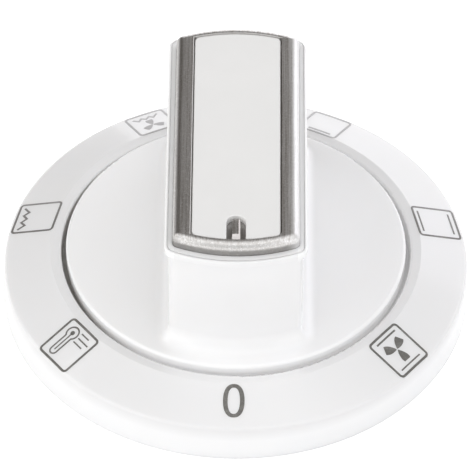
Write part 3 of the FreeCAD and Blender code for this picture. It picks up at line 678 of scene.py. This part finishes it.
studio = {
    "floor": {"size": 3.0, "colour": (0.86, 0.86, 0.86, 1), "shade": (0.84, 0.84, 0.84, 1), "glow": 0.34,
              "grain": {"Scale": 300.0, "Detail": 3.0}, "grainFade": (0.3, 0.7, 0.0, 0.3)},
    # brightness of the surroundings by height, and a dim warm patch behind the knob
    "tent": ((0.0, 0.76), (0.25, 0.77), (0.50, 0.81), (0.85, 0.84), (0.97, 0.90)),
    "dimTowards": (-0.306, 0.714, 0.633), "dimFade": (0.80, 0.92), "dimTone": (0.105, 0.093, 0.082, 1),
    "lampAim": (0, 0, 0.015),
    "lamps": {
        "overhead": {"place": (0.04, -0.27, 0.60), "size": (0.70, 0.44), "radiance": 0.48,
                     "colour": (1.0, 1.0, 1.0)},
        "frontLeft": {"place": (-0.44, -0.42, 0.20), "size": (0.34, 0.34), "radiance": 1.15,
                      "colour": (1.0, 0.995, 0.99)},
        "frontRight": {"place": (0.42, -0.45, 0.20), "size": (0.34, 0.34), "radiance": 1.1,
                       "colour": (0.96, 0.96, 1.0)},
        "right": {"place": (0.42, 0.38, 0.22), "size": (0.40, 0.34), "radiance": 1.1,
                  "colour": (0.91, 0.90, 1.0)},
        "back": {"place": (0.14, 0.62, 0.14), "size": (0.60, 0.22), "radiance": 1.3,
                 "colour": (0.97, 0.97, 1.0)},
        "lowLeft": {"place": (-0.55, -0.06, 0.13), "size": (0.34, 0.20), "radiance": 1.1,
                    "colour": (1.0, 0.995, 0.98)},
        "left": {"place": (-0.40, 0.02, 0.42), "size": (0.30, 0.30), "radiance": 1.3,
                 "colour": (1.0, 0.99, 0.97)},
    },
}


def seenByRays(tree):
    # 1 for rays from the camera, and for mirrored and transmitted ones, which show the same surroundings
    rays = newNode(tree, "ShaderNodeLightPath").outputs
    seen = mathNode(tree, "MAXIMUM", rays["Is Camera Ray"], rays["Is Glossy Ray"])
    return mathNode(tree, "MAXIMUM", seen, rays["Is Transmission Ray"])


def makeFloor():
    look = studio["floor"]
    half = look["size"] / 2
    mesh = bpy.data.meshes.new("floor")
    corners = [(-half, -half, 0), (half, -half, 0), (half, half, 0), (-half, half, 0)]
    mesh.from_pydata(corners, [], [(0, 1, 2, 3)])
    floor = bpy.data.objects.new("floor", mesh)
    bpy.context.scene.collection.objects.link(floor)
    material = bpy.data.materials.new("whiteFloor")
    material.use_nodes = True
    tree = material.node_tree
    tree.nodes.clear()
    place = newNode(tree, "ShaderNodeTexCoord").outputs["Object"]
    grain = fadeNode(tree, noiseNode(tree, place, look["grain"]), *look["grainFade"])
    colour = mixColour(tree, grain, look["colour"], look["shade"])
    paint = newNode(tree, "ShaderNodeBsdfDiffuse", {"Color": colour})
    strength = mathNode(tree, "MULTIPLY", seenByRays(tree), look["glow"])
    glow = newNode(tree, "ShaderNodeEmission", {"Strength": strength})
    both = newNode(tree, "ShaderNodeAddShader", {0: paint.outputs[0], 1: glow.outputs[0]})
    newNode(tree, "ShaderNodeOutputMaterial", {"Surface": both.outputs[0]})
    layOut(tree)
    mesh.materials.append(material)


def makeWorld():
    world = bpy.data.worlds.new("studioWorld")
    bpy.context.scene.world = world
    world.use_nodes = True
    tree = world.node_tree
    tree.nodes.clear()
    heading = newNode(tree, "ShaderNodeTexCoord").outputs["Generated"]
    ramp = newNode(tree, "ShaderNodeValToRGB", {"Fac": splitPlace(tree, heading)["Z"]})
    ramp.color_ramp.interpolation = "EASE"
    while len(ramp.color_ramp.elements) < len(studio["tent"]):
        ramp.color_ramp.elements.new(0.5)
    for element, (height, bright) in zip(ramp.color_ramp.elements, studio["tent"]):
        element.position = height
        element.color = (bright, bright, bright, 1)
    behind = newNode(tree, "ShaderNodeVectorMath", {0: heading, 1: studio["dimTowards"]},
                     operation="DOT_PRODUCT")
    dim = fadeNode(tree, behind.outputs["Value"], *studio["dimFade"])
    sky = newNode(tree, "ShaderNodeBackground",
                  {"Color": mixColour(tree, dim, ramp.outputs["Color"], studio["dimTone"])})
    newNode(tree, "ShaderNodeOutputWorld", {"Surface": sky.outputs[0]})
    layOut(tree)


def makeLamps():
    # power = radiance * pi * area
    for name, look in studio["lamps"].items():
        lamp = bpy.data.lights.new(name, "AREA")
        lamp.shape = "RECTANGLE"
        lamp.size, lamp.size_y = look["size"]
        lamp.energy = look["radiance"] * np.pi * np.prod(look["size"])
        lamp.color = look["colour"]
        holder = bpy.data.objects.new(name, lamp)
        bpy.context.scene.collection.objects.link(holder)
        toward = Vector(studio["lampAim"]) - Vector(look["place"])
        holder.location = look["place"]
        holder.rotation_euler = toward.to_track_quat("-Z", "Y").to_euler()


makeFloor()
makeWorld()
makeLamps()
print("studio lit with", len(studio["lamps"]), "lamps")


# the photograph's angle: degrees, with target and distance in millimetres
cameraView = {"elevation": 45.362, "roll": 0.5525, "target": (-0.132, 5.406, 3.9), "distance": 587.88,
              "lens": 347.2, "sensor": 36.0, "clipStart": 0.01}


def makeCamera():
    # place = target - ahead * distance; right and top are turned about ahead by the roll
    lift = np.radians(cameraView["elevation"])
    roll = np.radians(cameraView["roll"])
    ahead = np.array([0.0, np.cos(lift), -np.sin(lift)])
    upright = np.array([0.0, np.sin(lift), np.cos(lift)])
    across = np.array([1.0, 0.0, 0.0])
    right = np.cos(roll) * across + np.sin(roll) * upright
    top = -np.sin(roll) * across + np.cos(roll) * upright
    where = (np.array(cameraView["target"]) - ahead * cameraView["distance"]) * mm
    lens = bpy.data.cameras.new("photoCamera")
    lens.lens = cameraView["lens"]
    lens.sensor_width = cameraView["sensor"]
    lens.clip_start = cameraView["clipStart"]
    holder = bpy.data.objects.new("photoCamera", lens)
    bpy.context.scene.collection.objects.link(holder)
    turned = Matrix((right.tolist(), top.tolist(), (-ahead).tolist())).transposed()
    holder.matrix_world = Matrix.Translation(Vector(where.tolist())) @ turned.to_4x4()
    bpy.context.scene.camera = holder


makeCamera()
bpy.context.scene.view_settings.view_transform = "Standard"
print("camera set")
